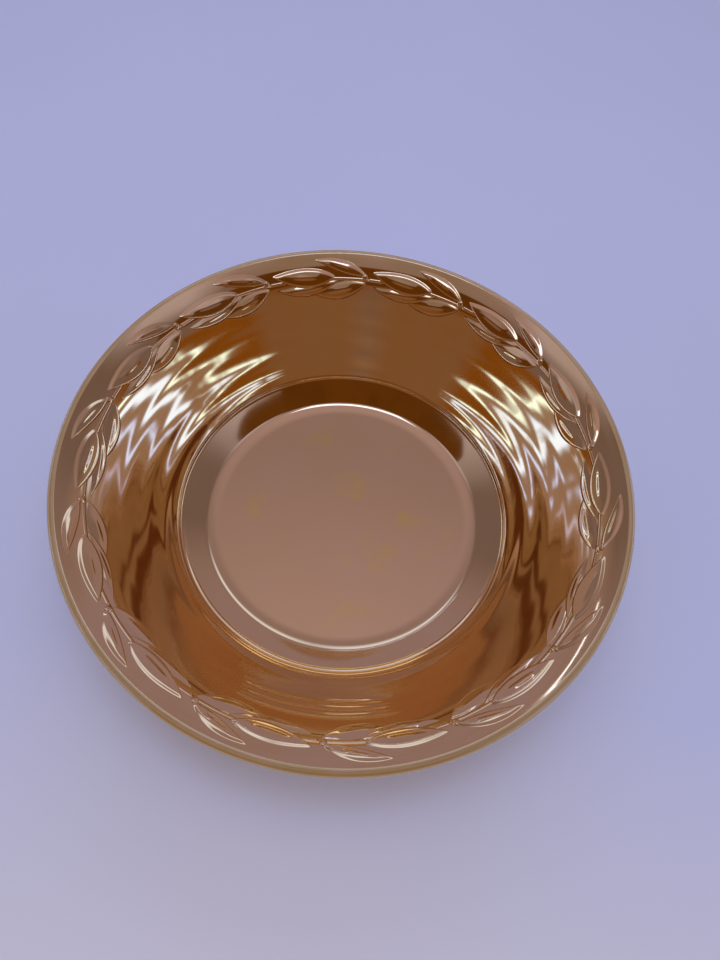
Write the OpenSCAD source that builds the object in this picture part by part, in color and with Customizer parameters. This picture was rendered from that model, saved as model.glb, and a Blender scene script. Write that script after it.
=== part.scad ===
// Shallow serving bowl in pressed opal glass with a fired-on peach lustre.
// A laurel garland of fourteen sprigs is raised on the inside of the brim.
// Origin: centre of the foot, on the surface it stands on. +Z is up.

/* [Bowl] */
// Diameter over the lip
rim_d = 210; // [204:1:216]
// Overall height, from the table to the top of the lip
bowl_h = 54; // [52:0.5:56]
// Glass thickness of the wall and the brim, and of the round lip
glass_t = 3.6; // [3.2:0.1:4]

/* [Well] */
// Height of the floor of the well above the table
floor_z = 7.4; // [7:0.1:8.2]
// Radius of the crease where the cove meets the wall
crease_r = 65.5; // [63:0.5:67]
// Height of the crease above the floor
crease_rise = 6.6; // [5.8:0.1:7.2]
// Slope of the cove between floor and crease, in degrees
cove_slope = 31; // [28:1:34]
// Radius that blends the floor into the cove
cove_blend_r = 12; // [8:1:16]

/* [Brim] */
// Half of the brim's width, seen from above
brim_w = 7.5; // [7.2:0.1:8.5]
// Slope of the brim beside the lip, in degrees
brim_slope = 32.3; // [31:0.1:34]
// Radius of the brim's curve, from the wall to the lip
brim_r = 56; // [45:1:56]

/* [Foot] */
// Outer radius of the foot ring at its top
foot_r = 55.5; // [53:0.5:56]
// Width of the foot ring at its top
foot_w = 4.6; // [4:0.1:5.5]
// Height of the foot ring
foot_h = 3; // [2.6:0.1:3.4]
// Radius of its rounded lower edges
foot_edge_r = 1.2; // [0.8:0.1:1.6]

/* [Laurel] */
// Height of the leaves that lie along the brim
leaf_h = 1.0; // [0.6:0.1:1.2]
// Height of the leaves that overlap them
small_leaf_h = 0.75; // [0.4:0.05:1]
// Height of the stem and the knot
stem_h = 0.5; // [0.3:0.1:0.8]
// How far a vein stands above its leaf
vein_h = 0.35; // [0.2:0.05:0.5]
// Width of the stem
stem_w = 1.1; // [0.8:0.1:1.4]
// Width of a vein
vein_w = 1.2; // [0.9:0.1:1.5]
// Radius of the knot where two sprigs meet
knot_r = 1.3; // [1:0.1:1.6]

/* [Hidden] */
SPRIGS = 14;

$fn = 96;
LUSTRE = [0.80, 0.50, 0.28];
LIP_AMBER = [0.62, 0.45, 0.28];
LEAF_GOLD = [0.86, 0.58, 0.34];
sector = 360 / SPRIGS;
// Azimuth of the first sprig's joint with its neighbour, clockwise from +Y
first_joint = -2;

// Centre of the lip's section, and the corners of the inner surface, [radius, height].
// The brim's curve starts below brim_foot, where the lines of wall and brim cross.
lip_r = glass_t / 2;
lip_c = [rim_d / 2 - lip_r, bowl_h - lip_r];
brim_top = lip_c + lip_r * [-sin(brim_slope), cos(brim_slope)];
brim_foot = brim_top - brim_w * [1, tan(brim_slope)];
crease = [crease_r, floor_z + crease_rise];
floor_edge = [crease_r - crease_rise / tan(cove_slope), floor_z];
floor_mid = [0, floor_z];

// Corners of the outer surface
brim_back = brim_top + glass_t * right_of(brim_foot, brim_top);
brim_foot_back = offset_corner(crease, brim_foot, brim_top, glass_t);
crease_back = offset_corner(floor_edge, crease, brim_foot, glass_t);
cove_back_r = crease_back.x - (crease_back.y - foot_h) / tan(cove_slope);

// Leaves of one sprig: [base angle, base radius, tip angle, tip radius, width, bow].
// Angles run clockwise from the sprig's left joint, bow is outward from the chord.
LONG_OUTER = [16.9, 94.8, 0.8, 96.6, 6.4, -0.1];
STEEP_OUTER = [25.0, 95.4, 12.0, 100.2, 4.4, 1.0];
LONG_INNER = [18.0, 93.8, 0.9, 92.3, 3.8, -0.9];
STEEP_INNER = [25.2, 93.2, 10.6, 90.2, 5.2, -0.3];
stem_line_r = 94;
leaf_steps = 12;
// Powers that shape a leaf's outline: the first moves its widest part, the second fills it
leaf_lean = 0.85;
leaf_fill = 0.8;
// Part of a leaf's length that its vein covers, from base to tip
vein_span = [0.18, 0.8];
// The knot's place: degrees before the end of the sprig, and distance outward from the stem
knot_at = [1, 0.6];
// Where the layer that holds the relief starts, as a part of the wall's height
relief_foot = 0.6;
curve_steps = 6;

function sprig_name(i) = str("laurel_sprig_", i < 10 ? "0" : "", i);
function unit(v) = v / norm(v);
// Unit normal on the right of the way from a to b
function right_of(a, b) = let (u = unit(b - a)) [u.y, -u.x];
// Corner b of the line a-b-c, moved by t to the right of both of its sides
function offset_corner(a, b, c, t) =
    let (n = right_of(a, b), m = right_of(b, c)) b + t * (n + m) / (1 + n * m);
function arc(c, r, from, to, steps) =
    [for (i = [0:steps]) let (a = from + (to - from) * i / steps) c + r * [cos(a), sin(a)]];
// Arc of radius r that rounds the corner b, where the line turns left by a small angle
function round_left(a, b, c, r, steps) =
    let (n = right_of(a, b), m = right_of(b, c),
         centre = offset_corner(a, b, c, -r),
         from = atan2(n.y, n.x), to = atan2(m.y, m.x))
    arc(centre, r, from, to, steps);
// The same where the line turns right
function round_right(a, b, c, r, steps) =
    let (n = -right_of(a, b), m = -right_of(b, c),
         centre = offset_corner(a, b, c, r),
         from = atan2(n.y, n.x), to = atan2(m.y, m.x))
    arc(centre, r, from, to, steps);

// Inner surface of the bowl, from its axis to the lip
function inner_line() =
    concat([floor_mid],
           round_left(floor_mid, floor_edge, crease, cove_blend_r, curve_steps),
           [crease],
           brim_line(),
           [brim_top]);

// The brim's curve, and the direction that its relief stands up in
function brim_line() = round_right(crease, brim_foot, brim_top, brim_r, curve_steps);
function brim_up() = -right_of(brim_line()[0], brim_top);

// Point of a leaf's outline: s runs from base to tip, side is 1 or -1
function leaf_point(leaf, s, side, width) =
    let (base = polar(leaf[0], leaf[1]), tip = polar(leaf[2], leaf[3]),
         along = tip - base, across = -right_of(base, tip),
         fullness = pow(sin(180 * pow(s, leaf_lean)), leaf_fill))
    base + along * s
    - across * (leaf[5] * 4 * s * (1 - s) + side * fullness * width / 2);
function polar(u, r) = r * [sin(u), cos(u)];

module leaf_outline(leaf, from, to, width) {
    polygon(concat(
        [for (i = [0:leaf_steps])
            leaf_point(leaf, from + (to - from) * i / leaf_steps, 1, width)],
        [for (i = [leaf_steps - 1:-1:1])
            leaf_point(leaf, from + (to - from) * i / leaf_steps, -1, width)]));
}

// Layer of the given height on the inner surface of wall and brim
module brim_layer(low, high) {
    line = concat([crease + relief_foot * (brim_foot - crease)], brim_line(), [brim_top]);
    n = brim_up();
    rotate_extrude()
        polygon(concat([for (p = line) p + low * n],
                       [for (i = [len(line) - 1:-1:0]) line[i] + high * n]));
}

module raised(low, high) {
    intersection() {
        brim_layer(low, high);
        linear_extrude(height = bowl_h) children();
    }
}

module leaf(shape, h) {
    raised(0, h) leaf_outline(shape, 0, 1, shape[4]);
    raised(h, h + vein_h) leaf_outline(shape, vein_span[0], vein_span[1], vein_w);
}

module stem() {
    raised(0, stem_h) {
        difference() {
            circle(r = stem_line_r + stem_w / 2);
            circle(r = stem_line_r - stem_w / 2);
            sector_cut();
        }
        translate(polar(sector - knot_at[0], stem_line_r + knot_at[1])) circle(r = knot_r, $fn = 32);
    }
}

// Everything outside one sprig's sector
module sector_cut() {
    difference() {
        square(2 * rim_d, center = true);
        polygon([[0, 0], polar(0, rim_d), polar(sector, rim_d)]);
    }
}

module laurel_sprig(i) {
    color(LEAF_GOLD)
    rotate([0, 0, -first_joint - (i - 1) * sector]) {
        leaf(LONG_OUTER, leaf_h);
        leaf(STEEP_OUTER, small_leaf_h);
        leaf(LONG_INNER, small_leaf_h);
        leaf(STEEP_INNER, leaf_h);
        stem();
    }
}

module glass_body() {
    color(LUSTRE)
    rotate_extrude()
        polygon(concat(inner_line(),
                       [brim_back],
                       [brim_foot_back, crease_back, [cove_back_r, foot_h], [0, foot_h]]));
}

module rim_lip() {
    color(LIP_AMBER)
    rotate_extrude()
        polygon(arc(lip_c, lip_r, 90 + brim_slope, brim_slope - 90, 12));
}

module foot_ring() {
    inner_r = foot_r - foot_w;
    color(LUSTRE)
    rotate_extrude() {
        translate([inner_r, foot_edge_r]) square([foot_w, foot_h - foot_edge_r]);
        translate([inner_r + foot_edge_r, 0]) square([foot_w - 2 * foot_edge_r, foot_h]);
        for (r = [inner_r + foot_edge_r, foot_r - foot_edge_r])
            translate([r, foot_edge_r]) circle(r = foot_edge_r, $fn = 32);
    }
}

glass_body();
rim_lip();
foot_ring();
for (i = [1:SPRIGS])
    laurel_sprig(i);
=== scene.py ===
"""Looks of a pressed opal-glass serving bowl with a peach lustre and a raised laurel garland.

Lengths are in millimetres while shapes are worked out, and MM turns them into metres.
"""

import math

import bpy
import numpy as np
from mathutils import Matrix, Vector


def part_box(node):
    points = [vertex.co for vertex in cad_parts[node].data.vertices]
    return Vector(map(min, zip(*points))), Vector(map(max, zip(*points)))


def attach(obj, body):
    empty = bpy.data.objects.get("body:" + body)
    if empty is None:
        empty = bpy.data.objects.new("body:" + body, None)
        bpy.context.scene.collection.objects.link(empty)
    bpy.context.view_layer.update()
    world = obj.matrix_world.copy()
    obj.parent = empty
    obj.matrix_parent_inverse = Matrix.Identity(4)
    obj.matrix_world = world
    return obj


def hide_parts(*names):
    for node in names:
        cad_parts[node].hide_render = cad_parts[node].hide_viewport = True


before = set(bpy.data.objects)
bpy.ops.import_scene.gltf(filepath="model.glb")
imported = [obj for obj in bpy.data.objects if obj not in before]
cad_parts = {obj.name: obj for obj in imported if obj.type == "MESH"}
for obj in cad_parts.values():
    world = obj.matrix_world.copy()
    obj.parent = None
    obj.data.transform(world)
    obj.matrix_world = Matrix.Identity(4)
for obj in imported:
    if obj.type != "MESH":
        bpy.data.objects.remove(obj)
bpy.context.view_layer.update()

MM = 0.001

# ---------------------------------------------------------------- driving sizes, in mm
lip_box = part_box("rim_lip")
foot_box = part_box("foot_ring")
RIM_R = lip_box[1][0] / MM
BOWL_H = lip_box[1][2] / MM
FOOT_H = foot_box[1][2] / MM
FOOT_R = foot_box[1][0] / MM
GLASS_T = 3.6
LIP_R = GLASS_T / 2
FLOOR_Z = 7.4
CREASE_R = 65.5
CREASE_RISE = 6.6
COVE_SLOPE = math.radians(31)
COVE_FOOT_SLOPE = math.radians(14)
CREASE_BLEND_R = 3.5
BRIM_W = 7.5
BRIM_SLOPE = math.radians(32.3)
BRIM_BLEND_R = 56
FOOT_W = 4.6
FOOT_EDGE_R = 1.2

SPRIGS = 14
SECTOR = 360 / SPRIGS
FIRST_JOINT = -2.0
COLUMNS = 520
STEM_R = 94.0


# ---------------------------------------------------------------- section of the bowl
def unit(v):
    return v / np.linalg.norm(v)


def right_of(a, b):
    u = unit(b - a)
    return np.array([u[1], -u[0]])


def offset_corner(a, b, c, t):
    n, m = right_of(a, b), right_of(b, c)
    return b + t * (n + m) / (1 + n @ m)


def arc(centre, r, start, end, steps):
    angles = np.linspace(start, end, steps + 1)
    return [centre + r * np.array([math.cos(a), math.sin(a)]) for a in angles]


def rounded(a, b, c, r, steps):
    """Arc of radius r that rounds the corner b of the line a-b-c."""
    n, m = right_of(a, b), right_of(b, c)
    side = 1 if n[0] * m[1] - n[1] * m[0] > 0 else -1
    centre = offset_corner(a, b, c, -r * side)
    start = math.atan2(*(n * side)[::-1])
    end = math.atan2(*(m * side)[::-1])
    return arc(centre, r, start, end, steps)


def resampled(points, steps):
    """The same line with steps even intervals along its length."""
    points = np.array(points)
    lengths = np.concatenate([[0], np.cumsum(np.linalg.norm(np.diff(points, axis=0), axis=1))])
    at = np.linspace(0, lengths[-1], steps + 1)
    return np.c_[np.interp(at, lengths, points[:, 0]), np.interp(at, lengths, points[:, 1])]


lip_c = np.array([RIM_R - LIP_R, BOWL_H - LIP_R])
brim_top = lip_c + LIP_R * np.array([-math.sin(BRIM_SLOPE), math.cos(BRIM_SLOPE)])
brim_foot = brim_top - BRIM_W * np.array([1, math.tan(BRIM_SLOPE)])
crease = np.array([CREASE_R, FLOOR_Z + CREASE_RISE])
floor_edge = np.array([CREASE_R - CREASE_RISE / math.tan(COVE_SLOPE), FLOOR_Z])
floor_mid = np.array([0.0, FLOOR_Z])
brim_back = brim_top + GLASS_T * right_of(brim_foot, brim_top)
brim_foot_back = offset_corner(crease, brim_foot, brim_top, GLASS_T)
crease_back = offset_corner(floor_edge, crease, brim_foot, GLASS_T)
cove_back = np.array([crease_back[0] - (crease_back[1] - FOOT_H) / math.tan(COVE_SLOPE), FOOT_H])

WALL_SLOPE = math.atan2(brim_foot[1] - crease[1], brim_foot[0] - crease[0])

cove_foot = floor_edge + np.array([1.4, 1.4 * math.tan(COVE_SLOPE)])
floor_turn = np.array([cove_foot[0] - (cove_foot[1] - FLOOR_Z) / math.tan(COVE_FOOT_SLOPE), FLOOR_Z])
cove_line = rounded(floor_mid, floor_turn, cove_foot, 17, 12) + rounded(floor_turn, cove_foot, crease, 7, 8)
crease_line = rounded(floor_edge, crease, brim_foot, CREASE_BLEND_R, 4)
brim_line = rounded(crease, brim_foot, brim_top, BRIM_BLEND_R, 12)
inner_corners = np.array([floor_mid] + cove_line + crease_line + brim_line + [brim_top])


def inner_z(r):
    return np.interp(r, inner_corners[:, 0], inner_corners[:, 1])


def inner_normal(r):
    """Unit normal of the inner surface at radius r, pointing into the bowl, as [out, up]."""
    step = 0.25
    rise = (inner_z(r + step) - inner_z(r - step)) / (2 * step)
    length = np.sqrt(1 + rise ** 2)
    return -rise / length, 1 / length


def smooth_step(x, low, high):
    t = np.clip((x - low) / (high - low), 0, 1)
    return t * t * (3 - 2 * t)


def wander(azimuth, seed, cycles=6):
    """Slow periodic random curve around the bowl, about -1 to 1."""
    draw = np.random.default_rng(seed)
    total = np.zeros_like(azimuth)
    for k in range(1, cycles + 1):
        total += draw.normal() / k ** 0.7 * np.cos(k * azimuth + draw.uniform(0, 2 * math.pi))
    return total / 2


def flow_wave(run, length, phase):
    """Wave of pressed glass whose slope rises and falls in straight lines."""
    turn = 2 * math.pi * run / length + phase
    return np.cos(turn) - np.cos(3 * turn) / 27


def wall_ripple(r, azimuth):
    """Height of the flow waves that pressing leaves on the wall, in mm."""
    inside = smooth_step(r, CREASE_R + 1, CREASE_R + 4) * (1 - smooth_step(r, 84, 88))
    run = (r - CREASE_R) / math.cos(WALL_SLOPE)
    low = 1 - smooth_step(r, 70, 80)
    waves = (0.036 + 0.030 * low) * flow_wave(run, 9.6, 1.2 * wander(azimuth, 3, 7))
    waves += 0.024 * flow_wave(run, 14.2, 2.0 + 1.8 * wander(azimuth, 5, 8))
    waves += 0.0030 * flow_wave(run, 3.9, 2.6 * wander(azimuth, 9, 12))
    near = smooth_step(-np.cos(azimuth), 0.15, 0.75)
    calm = 1 - 0.85 * smooth_step(-np.cos(azimuth), -0.10, 0.50) * smooth_step(r, 69, 74)
    seam = 0.16 * np.exp(-((r - CREASE_R - 0.8) / 0.32) ** 2)
    seam += 0.15 * near * np.exp(-((r - CREASE_R - 2.3 - 0.4 * wander(azimuth, 13, 5)) / 0.32) ** 2)
    seam += 0.20 * near * np.exp(-((r - CREASE_R + 0.9 + 0.1 * wander(azimuth, 17, 5)) / 0.40) ** 2)
    fine = smooth_step(-np.cos(azimuth), 0.93, 0.99)
    for k, at in enumerate((79.5, 82.0, 84.6)):
        seam += 0.18 * fine * np.exp(-((r - at - 0.4 * wander(azimuth, 20 + k, 9)) / 0.85) ** 2)
    return inside * calm * waves + seam


# ---------------------------------------------------------------- meshes
def object_of(name, vertices, faces, material, normals=None):
    mesh = bpy.data.meshes.new(name)
    mesh.from_pydata([tuple(v) for v in vertices], [], faces)
    mesh.update()
    mesh.shade_smooth()
    if normals is not None:
        mesh.normals_split_custom_set_from_vertices([tuple(n) for n in normals])
    mesh.materials.append(material)
    piece = bpy.data.objects.new(name, mesh)
    bpy.context.scene.collection.objects.link(piece)
    return piece


def revolved_grid(line, columns, ripple=None):
    """Points of the line turned about Z: rows follow the line, columns go round, in metres."""
    azimuth = np.linspace(0, 2 * math.pi, columns, endpoint=False)
    r, turn = np.meshgrid(line[:, 0], azimuth, indexing="ij")
    z = np.repeat(line[:, 1][:, None], columns, axis=1)
    if ripple is not None:
        h = ripple(r, turn)
        out, up = inner_normal(r)
        r, z = r + h * out, z + h * up
    return np.stack([r * np.sin(turn), r * np.cos(turn), z], axis=-1) * MM


def grid_normals(grid):
    """Normals of a revolved grid from its own neighbours, pointing away from the glass."""
    along = np.gradient(grid, axis=0)
    around = np.roll(grid, -1, axis=1) - np.roll(grid, 1, axis=1)
    normals = np.cross(around, along)
    return normals / np.maximum(np.linalg.norm(normals, axis=-1, keepdims=True), 1e-12)


def quads_of(rows, columns, closed_section):
    faces = []
    for i in range(rows if closed_section else rows - 1):
        below, above = i * columns, (i + 1) % rows * columns
        for j in range(columns):
            k = (j + 1) % columns
            faces.append((below + j, below + k, above + k, above + j))
    return faces


def section_piece(name, sections, columns, material):
    """Closed piece turned from lines that follow each other around its section.

    Where two lines meet beside the axis, each is closed by one small flat face.
    """
    vertices, normals, faces = [], [], []
    line_grids = [revolved_grid(line, columns, ripple) for line, ripple in sections]
    starts = []
    for grid in line_grids:
        starts.append(sum(len(v) for v in vertices))
        vertices.append(grid.reshape(-1, 3))
        normals.append(grid_normals(grid).reshape(-1, 3))
        base = starts[-1]
        faces += [tuple(base + v for v in f) for f in quads_of(len(grid), columns, False)]
    for n, grid in enumerate(line_grids):
        last = starts[n] + (len(grid) - 1) * columns
        following = starts[(n + 1) % len(line_grids)]
        touches_axis = sections[n][0][-1][0] < 1.0
        if touches_axis:
            faces.append(tuple(last + j for j in range(columns)))
            faces.append(tuple(following + j for j in reversed(range(columns))))
            continue
        for j in range(columns):
            k = (j + 1) % columns
            faces.append((last + j, last + k, following + k, following + j))
    return object_of(name, np.concatenate(vertices), faces, material, np.concatenate(normals))


# ---------------------------------------------------------------- materials
class Nodes:
    """Short ways to add shader nodes to a material or a world."""

    def __init__(self, owner):
        owner.use_nodes = True
        self.owner = owner
        self.tree = owner.node_tree
        self.shader = next(n for n in self.tree.nodes if n.type in ("BSDF_PRINCIPLED", "BACKGROUND"))

    def add(self, kind, inputs=None, **settings):
        node = self.tree.nodes.new(kind)
        for key, value in settings.items():
            setattr(node, key, value)
        for key, value in (inputs or {}).items():
            if isinstance(value, bpy.types.NodeSocket):
                self.tree.links.new(value, node.inputs[key])
            else:
                node.inputs[key].default_value = value
        return node

    def math(self, operation, a, b=0.0, c=0.0):
        return self.add("ShaderNodeMath", {0: a, 1: b, 2: c}, operation=operation).outputs[0]

    def spread(self, value, low, high, to_low=0.0, to_high=1.0):
        inputs = {"Value": value, "From Min": low, "From Max": high, "To Min": to_low, "To Max": to_high}
        return self.add("ShaderNodeMapRange", inputs).outputs[0]

    def window(self, value, low, high, soft):
        """1 between low and high, 0 outside, over a soft edge."""
        rising = self.spread(value, low - soft / 2, low + soft / 2)
        falling = self.spread(value, high - soft / 2, high + soft / 2, 1.0, 0.0)
        return self.math("MULTIPLY", rising, falling)

    def mix(self, factor, a, b):
        inputs = {"Factor": factor, 6: a, 7: b}
        return self.add("ShaderNodeMix", inputs, data_type="RGBA").outputs[2]

    def noise(self, vector, scale, detail=3.0, roughness=0.5):
        inputs = {"Vector": vector, "Scale": scale, "Detail": detail, "Roughness": roughness}
        return self.add("ShaderNodeTexNoise", inputs).outputs["Fac"]

    def polar(self):
        """Position, radius in metres and height in metres of the shaded point."""
        place = self.add("ShaderNodeTexCoord").outputs["Object"]
        parts = self.add("ShaderNodeSeparateXYZ", {0: place})
        x, y, z = parts.outputs
        radius = self.math("SQRT", self.math("ADD", self.math("MULTIPLY", x, x),
                                             self.math("MULTIPLY", y, y)))
        return place, radius, z

    def rings(self, place, radius, height):
        """Vector whose noise is drawn out around the bowl in concentric bands."""
        scaled = self.add("ShaderNodeVectorMath", {0: place, 1: (0.12, 0.12, 0.12)},
                          operation="MULTIPLY").outputs[0]
        parts = self.add("ShaderNodeSeparateXYZ", {0: scaled})
        return self.add("ShaderNodeCombineXYZ", {0: self.math("ADD", radius, parts.outputs[0]),
                                                 1: parts.outputs[1],
                                                 2: height}).outputs[0]

    def set(self, **values):
        for key, value in values.items():
            socket = self.shader.inputs[key.replace("_", " ")]
            if isinstance(value, bpy.types.NodeSocket):
                self.tree.links.new(value, socket)
            else:
                socket.default_value = value


def lustre_material():
    """Peach lustre fired on opal glass: a coloured, almost metallic mirror."""
    n = Nodes(bpy.data.materials.new("peach_lustre"))
    place, radius, height = n.polar()
    bands = n.noise(n.rings(place, radius, height), 260.0, 3.0, 0.55)
    clouds = n.noise(place, 28.0, 3.0, 0.5)
    on_wall = n.spread(radius, 0.064, 0.068)
    tone = n.mix(n.math("MULTIPLY", n.spread(bands, 0.35, 0.65), on_wall),
                 (0.76, 0.51, 0.215, 1), (0.73, 0.465, 0.175, 1))
    tone = n.mix(n.spread(clouds, 0.42, 0.70), tone, (0.77, 0.52, 0.235, 1))
    spots = n.spread(n.noise(place, 70.0, 2.0, 0.5), 0.60, 0.72)
    on_floor = n.spread(radius, 0.036, 0.050, 0.6, 0.0)
    tone = n.mix(n.math("MULTIPLY", spots, on_floor), tone, (0.80, 0.56, 0.13, 1))
    rough = n.spread(n.noise(place, 55.0, 4.0, 0.6), 0.3, 0.7, 0.05, 0.075)
    n.set(Base_Color=tone, Metallic=0.98, Roughness=rough,
          Coat_Weight=0.5, Coat_Roughness=0.03, Coat_IOR=1.5)
    return n.owner


def lip_material():
    """The lip, where the lustre is thin and the warm glass shows."""
    n = Nodes(bpy.data.materials.new("lip_glass"))
    place, radius, height = n.polar()
    clouds = n.noise(place, 60.0, 3.0, 0.5)
    tone = n.mix(n.spread(clouds, 0.35, 0.65), (0.60, 0.42, 0.16, 1), (0.66, 0.46, 0.20, 1))
    rough = n.spread(n.noise(place, 90.0, 3.0, 0.5), 0.3, 0.7, 0.12, 0.2)
    n.set(Base_Color=tone, Metallic=0.5, Roughness=rough, Coat_Weight=0.5, Coat_Roughness=0.05)
    return n.owner


def floor_material():
    n = Nodes(bpy.data.materials.new("pale_floor"))
    place = n.add("ShaderNodeTexCoord").outputs["Object"]
    clouds = n.noise(place, 4.0, 3.0, 0.5)
    tone = n.mix(n.spread(clouds, 0.3, 0.7), (0.74, 0.81, 0.97, 1), (0.77, 0.84, 1.0, 1))
    # Painted light: the floor turns warmer towards the front (-Y), as if lit by warmer light there
    y = n.add("ShaderNodeSeparateXYZ", {0: place}).outputs[1]
    tone = n.mix(n.spread(y, -0.06, -0.20, 0.0, 1.0), tone, (0.98, 0.97, 0.88, 1))
    n.set(Base_Color=tone, Roughness=0.55, Specular_IOR_Level=0.3)
    return n.owner


# ---------------------------------------------------------------- pieces
def make_body(material):
    seam_start = crease_line[0] + 0.3 * (cove_line[-1] - crease_line[0])
    seam_end = crease_line[-1] + 0.08 * (brim_line[0] - crease_line[-1])
    inner = np.concatenate([
        resampled([[0.3, FLOOR_Z], cove_line[0]], 6)[:-1],
        resampled(cove_line, 22)[:-1],
        resampled([cove_line[-1], seam_start], 4)[:-1],
        resampled([seam_start] + crease_line + [seam_end], 34)[:-1],
        resampled([seam_end, brim_line[0]], 54)[:-1],
        resampled(brim_line + [brim_top], 24)])
    upper_bend = rounded(brim_back, brim_foot_back, crease_back, 30, 6)
    lower_bend = rounded(brim_foot_back, crease_back, cove_back, 6, 6)
    outer = np.concatenate([
        resampled([brim_back, brim_foot_back], 8)[:-1],
        resampled(upper_bend, 6)[:-1],
        resampled([upper_bend[-1], lower_bend[0]], 8)[:-1],
        resampled(lower_bend, 6)[:-1],
        resampled([lower_bend[-1], cove_back], 3)])
    under = resampled([cove_back, [0.3, FOOT_H]], 7)
    return section_piece("bowl_glass", [(inner, wall_ripple), (outer, None), (under, None)],
                         COLUMNS, material)


def make_lip(material):
    start = math.pi / 2 + BRIM_SLOPE
    line = np.array(arc(lip_c, LIP_R, start, start - math.pi, 26))
    return section_piece("bowl_lip", [(line, None)], COLUMNS, material)


def make_foot(material):
    inner_r = FOOT_R - FOOT_W
    low, high = FOOT_EDGE_R, FOOT_H
    line = [[FOOT_R, high]]
    line += arc(np.array([FOOT_R - FOOT_EDGE_R, low]), FOOT_EDGE_R, 0, -math.pi / 2, 6)
    line += arc(np.array([inner_r + FOOT_EDGE_R, low]), FOOT_EDGE_R, -math.pi / 2, -math.pi, 6)
    line += [[inner_r, high]]
    return section_piece("foot_ring_glass", [(np.array(line), None)], 360, material)


# Leaves of one sprig: base angle, base radius, tip angle, tip radius, width, bow,
# height along the outer edge, rise towards the inner edge per mm
LEAVES = [
    (16.9, 94.8, 0.8, 96.6, 6.4, -0.1, 0.42, 0.07),
    (25.0, 95.4, 12.0, 100.3, 4.4, 1.0, 0.38, 0.05),
    (18.0, 93.8, 0.9, 92.3, 3.8, -0.9, 0.20, 0.15),
    (25.2, 93.2, 10.6, 90.2, 5.2, -0.3, 0.20, 0.14),
]


def polar_point(angle, r):
    a = math.radians(angle)
    return np.array([r * math.sin(a), r * math.cos(a)])


def on_brim(plan, h):
    """Points over the inner surface at plan positions, raised by h along its normal, in mm."""
    r = np.linalg.norm(plan, axis=-1)
    out, up = inner_normal(r)
    around = plan / r[..., None]
    return np.concatenate([plan + around * (h * out)[..., None],
                           (inner_z(r) + h * up)[..., None]], axis=-1)


def leaf_grid(leaf, rows=44, columns=26):
    base, tip = polar_point(leaf[0], leaf[1]), polar_point(leaf[2], leaf[3])
    width, bow, low, rise = leaf[4:]
    along = tip - base
    across = np.array([-along[1], along[0]]) / np.linalg.norm(along)
    if across @ (base + tip) < 0:
        across = -across
    s = (1 - np.cos(np.linspace(0, math.pi, rows))) / 2
    t = np.sin(np.linspace(-math.pi / 2, math.pi / 2, columns))
    s, t = np.meshgrid(s, t, indexing="ij")
    fullness = np.sin(math.pi * s ** 0.85) ** 0.8
    mid = base + along * s[..., None] + across * (bow * 4 * s * (1 - s))[..., None]
    plan = mid + across * (t * fullness * width / 2)[..., None]
    half = np.maximum(fullness * width / 2, 1e-3)
    inner_edge, outer_edge = (t + 1) * half, (1 - t) * half
    crown = (low + rise * outer_edge) * (1 - np.exp(-inner_edge / 0.22))
    crown *= smooth_step(outer_edge, -0.15, 1.3)
    across_vein = -t * half
    vein = 0.22 * np.exp(-(across_vein / np.where(across_vein > 0, 0.40, 0.85)) ** 2)
    vein *= smooth_step(s, 0.20, 0.42) * (1 - smooth_step(s, 0.55, 0.80))
    return on_brim(plan, crown + vein - 0.03), on_brim(plan, 0 * s - 0.4)


def closed_sheet(top, bottom):
    """Vertices and faces of the solid between two grids of the same size."""
    rows, columns = top.shape[:2]
    count = rows * columns
    vertices = np.concatenate([top.reshape(-1, 3), bottom.reshape(-1, 3)])
    faces = []
    for i in range(rows - 1):
        for j in range(columns - 1):
            a = i * columns + j
            quad = (a, a + 1, a + columns + 1, a + columns)
            faces.append(quad)
            faces.append(tuple(count + v for v in reversed(quad)))
    edge = list(range(columns))
    edge += [i * columns + columns - 1 for i in range(1, rows)]
    edge += [(rows - 1) * columns + j for j in range(columns - 2, -1, -1)]
    edge += [i * columns for i in range(rows - 2, 0, -1)]
    for a, b in zip(edge, edge[1:] + edge[:1]):
        faces.append((b, a, count + a, count + b))
    return vertices, faces


def stem_grid():
    angles = np.linspace(0, SECTOR, 60)
    t = np.linspace(-1, 1, 9)
    a, t = np.meshgrid(np.radians(angles), t, indexing="ij")
    r = STEM_R + t * 0.6
    plan = np.stack([r * np.sin(a), r * np.cos(a)], axis=-1)
    return on_brim(plan, 0.22 * (1 - t ** 2) - 0.03), on_brim(plan, 0 * t - 0.4)


def knot_grid():
    centre = polar_point(SECTOR - 1, STEM_R + 0.6)
    s, t = np.meshgrid(np.linspace(0.02, 1, 9), np.linspace(0, 2 * math.pi, 25), indexing="ij")
    plan = centre + 1.3 * s[..., None] * np.stack([np.sin(t), np.cos(t)], axis=-1)
    return on_brim(plan, 0.6 * np.sqrt(np.clip(1 - s ** 2, 0, 1)) - 0.03), on_brim(plan, 0 * s - 0.4)


def make_sprig(index, material):
    vertices, faces = [], []
    for top, bottom in [leaf_grid(leaf) for leaf in LEAVES] + [stem_grid(), knot_grid()]:
        start = sum(len(v) for v in vertices)
        points, quads = closed_sheet(top, bottom)
        vertices.append(points)
        faces += [tuple(start + v for v in f) for f in quads]
    points = np.concatenate(vertices)
    turn = math.radians(FIRST_JOINT + index * SECTOR)
    x = points[:, 0] * math.cos(turn) + points[:, 1] * math.sin(turn)
    y = -points[:, 0] * math.sin(turn) + points[:, 1] * math.cos(turn)
    placed = np.c_[x, y, points[:, 2]] * MM
    name = f"laurel_sprig_{index + 1:02d}"
    piece = object_of(name + "_relief", placed, faces, material)
    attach(piece, "root")
    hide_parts(name)
    return piece


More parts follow.
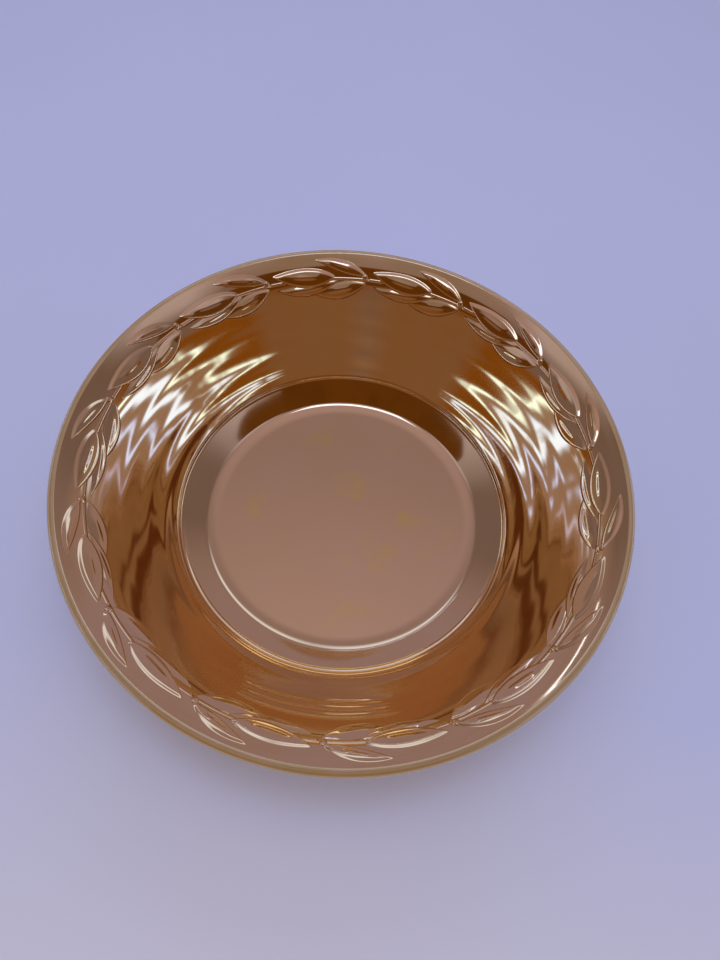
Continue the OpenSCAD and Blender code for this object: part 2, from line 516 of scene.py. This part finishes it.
# ---------------------------------------------------------------- light, floor and camera
# Colours of the tent of light round the bowl, seen from the bowl
TENT_TOP = (0.46, 0.38, 0.615, 1)
TENT_HIGH = (0.33, 0.267, 0.415, 1)
TENT_SIDE_LOW = (0.36, 0.259, 0.264, 1)
TENT_SIDE = (0.2, 0.16, 0.226, 1)
TENT_BACK_LOW = (0.34, 0.277, 0.464, 1)
TENT_BACK = (0.34, 0.277, 0.439, 1)
FRONT_HIGH = (0.3, 0.249, 0.307, 1)
FRONT_TOP = (0.4, 0.369, 0.521, 1)
FRONT_LOW = (0.25, 0.138, 0.088, 1)
FRONT_MID = (0.22, 0.095, 0.025, 1)
SIDE_GAP = (0.24, 0.087, 0.003, 1)
COOL_SHEEN = (0.75, 0.776, 1.381, 1)
# Glow of the dark card over the camera: a painted reflection, the deep amber seen in the glass
FLAG_REFLECTION_GLOW = (0.105, 0.037, 0, 1)
# Strips of light on both sides: elevation and width in degrees, colour
STRIPS = [
    (20.8, 1.5, (1.6, 2.397, 3.906, 1)),
    (16.2, 2.4, (1.3, 1.936, 4.278, 1)),
    (11.0, 1.4, (1, 1.475, 3.906, 1)),
    (6.5, 0.9, (0.8, 0.922, 2.232, 1)),
]
# Soft light behind the bowl, above the thin lamp
BACK_GLOW = (0.9, 1.106, 2.046, 1)
BACKDROP = (0.36, 0.34, 0.52, 1)


def add_floor():
    size = 3.0
    mesh = bpy.data.meshes.new("floor")
    mesh.from_pydata([(-size, -size, 0), (size, -size, 0), (size, size, 0), (-size, size, 0)], [],
                     [(0, 1, 2, 3)])
    floor = bpy.data.objects.new("floor", mesh)
    mesh.materials.append(floor_material())
    bpy.context.scene.collection.objects.link(floor)


def add_flag():
    """Dark card just above the camera, seen only in the glass: it glows dark amber, a painted reflection that
    gives the glass its deep amber shades.
    """
    outline = [(-0.235, 0.000), (-0.190, 0.008), (-0.160, -0.006), (-0.137, -0.025), (-0.107, -0.042),
               (-0.101, -0.012), (-0.085, -0.020), (-0.058, -0.036), (-0.004, -0.048), (0.049, -0.037),
               (0.078, -0.020), (0.099, -0.007), (0.103, -0.043), (0.125, -0.029), (0.150, -0.005),
               (0.172, 0.012), (0.200, 0.030), (0.235, 0.030), (0.250, -0.030), (0.215, -0.085),
               (0.150, -0.125), (-0.006, -0.175), (-0.112, -0.138), (-0.190, -0.110), (-0.245, -0.065)]
    mesh = bpy.data.meshes.new("flag")
    mesh.from_pydata([(x, y, 0.290) for x, y in outline], [], [tuple(range(len(outline)))])
    n = Nodes(bpy.data.materials.new("flag_reflection_glow"))
    # The card is no lamp: its dark amber glow, with a slight mottle, is a painted reflection
    glow_mottle = n.noise(n.add("ShaderNodeTexCoord").outputs["Object"], 40.0)
    n.set(Base_Color=(0, 0, 0, 1), Roughness=1.0, Specular_IOR_Level=0.0, Emission_Strength=1.0,
          Emission_Color=n.mix(n.spread(glow_mottle, 0.3, 0.7), FLAG_REFLECTION_GLOW, (FLAG_REFLECTION_GLOW[0] * 1.3, FLAG_REFLECTION_GLOW[1] * 1.3, 0, 1)))
    mesh.materials.append(n.owner)
    flag = bpy.data.objects.new("flag", mesh)
    flag.visible_camera = flag.visible_shadow = flag.visible_diffuse = False
    bpy.context.scene.collection.objects.link(flag)


def add_area(name, place, target, size_x, size_y, power, colour):
    light = bpy.data.lights.new(name, "AREA")
    light.shape = "RECTANGLE"
    light.size, light.size_y = size_x, size_y
    light.energy, light.color = power, colour
    lamp = bpy.data.objects.new(name, light)
    lamp.location = place
    lamp.rotation_euler = (Vector(target) - Vector(place)).to_track_quat("-Z", "Y").to_euler()
    bpy.context.scene.collection.objects.link(lamp)
    return lamp


def add_world():
    """A pale tent of light, open and darker on the side that the bowl is seen from."""
    world = bpy.data.worlds.new("studio")
    bpy.context.scene.world = world
    n = Nodes(world)
    ray = n.add("ShaderNodeTexCoord").outputs["Generated"]
    x, y, z = n.add("ShaderNodeSeparateXYZ", {0: ray}).outputs
    degree = math.degrees(1)
    rise = n.math("MULTIPLY", n.math("ARCSINE", z), degree)
    turn = n.math("MULTIPLY", n.math("ARCTAN2", x, n.math("MULTIPLY", y, -1.0)), degree)
    side = n.math("ABSOLUTE", turn)

    low = n.mix(n.spread(side, 120, 150), TENT_SIDE_LOW, TENT_BACK_LOW)
    middle = n.mix(n.spread(side, 130, 160), TENT_SIDE, TENT_BACK)
    sky = n.mix(n.spread(rise, 20, 32), low, middle)
    sky = n.mix(n.spread(rise, 48, 60), sky, TENT_HIGH)
    sky = n.mix(n.spread(rise, 60, 75), sky, TENT_TOP)
    sheen = n.math("MULTIPLY", n.window(side, 70, 104, 16), n.window(rise, 47, 64, 10))
    sky = n.mix(n.math("MULTIPLY", sheen, 0.5), sky, COOL_SHEEN)

    front = n.mix(n.spread(rise, 34, 42), FRONT_LOW, FRONT_MID)
    front = n.mix(n.spread(rise, 48, 56), front, FRONT_HIGH)
    front = n.mix(n.spread(rise, 66, 78), front, FRONT_TOP)
    sky = n.mix(n.window(side, -1, 52, 24), sky, front)

    gap = n.math("MULTIPLY", n.window(side, 46, 108, 10), n.window(rise, 21, 29, 5))
    sky = n.mix(gap, sky, SIDE_GAP)
    breaks = n.spread(n.noise(n.add("ShaderNodeCombineXYZ", {0: turn, 1: rise}).outputs[0], 0.09), 0.36, 0.52)
    for height, width, colour in STRIPS:
        strip = n.math("MULTIPLY", n.window(side, 46, 128, 10),
                       n.window(rise, height - width / 2, height + width / 2, 0.7))
        sky = n.mix(n.math("MULTIPLY", strip, breaks), sky, colour)
    glow = n.math("MULTIPLY", n.window(side, 150, 181, 12), n.window(rise, 37, 49, 4))
    sky = n.mix(glow, sky, BACK_GLOW)
    # Seen directly, not lighting or reflected, the tent is one plain colour
    sky = n.mix(n.add("ShaderNodeLightPath").outputs["Is Camera Ray"], sky, BACKDROP)
    n.set(Color=sky, Strength=1.0)


def add_camera():
    """Camera held over the front of the bowl, looking down into it, slightly tilted."""
    tilt, roll, reach = math.radians(62.55), math.radians(7.99), 259.7
    aim = Vector((4.95, -4.68, lip_c[1]))
    back = Vector((0, -math.cos(tilt), math.sin(tilt)))
    right = Vector((1, 0, 0))
    up = back.cross(right)
    turned_right = right * math.cos(roll) + up * math.sin(roll)
    turned_up = -right * math.sin(roll) + up * math.cos(roll)
    place = (aim + back * reach) * MM
    columns = Matrix((turned_right, turned_up, back)).transposed().to_4x4()
    data = bpy.data.cameras.new("camera")
    data.lens = 27.04
    data.sensor_width = 36
    data.clip_start = 0.01
    camera = bpy.data.objects.new("camera", data)
    camera.matrix_world = Matrix.Translation(place) @ columns
    bpy.context.scene.collection.objects.link(camera)
    bpy.context.scene.camera = camera


lustre = lustre_material()
for piece, node, finish in ((make_body(lustre), "glass_body", "lustre_glass"),
                            (make_lip(lip_material()), "rim_lip", "lip_glass"),
                            (make_foot(lustre), "foot_ring", "foot_glass")):
    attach(piece, "root")
    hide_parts(node)
for index in range(SPRIGS):
    make_sprig(index, lustre)

bpy.context.scene.view_settings.view_transform = "Standard"
add_floor()
add_world()
add_flag()
add_area("top_strip", (0.0, -0.03, 0.90), (0.0, -0.03, 0.0), 0.36, 0.18, 1.3, (0.20, 0.295, 0.63))
add_area("back_strip", (-0.25, 0.72, 0.46), (0.0, 0.0, 0.04), 0.45, 0.014, 0.16, (0.22, 0.315, 0.65))
soft = add_area("soft_top", (0.0, -0.12, 1.2), (0.0, -0.12, 0.0), 1.0, 1.0, 3.0, (0.84, 0.85, 0.65))
soft.visible_glossy = False
add_camera()
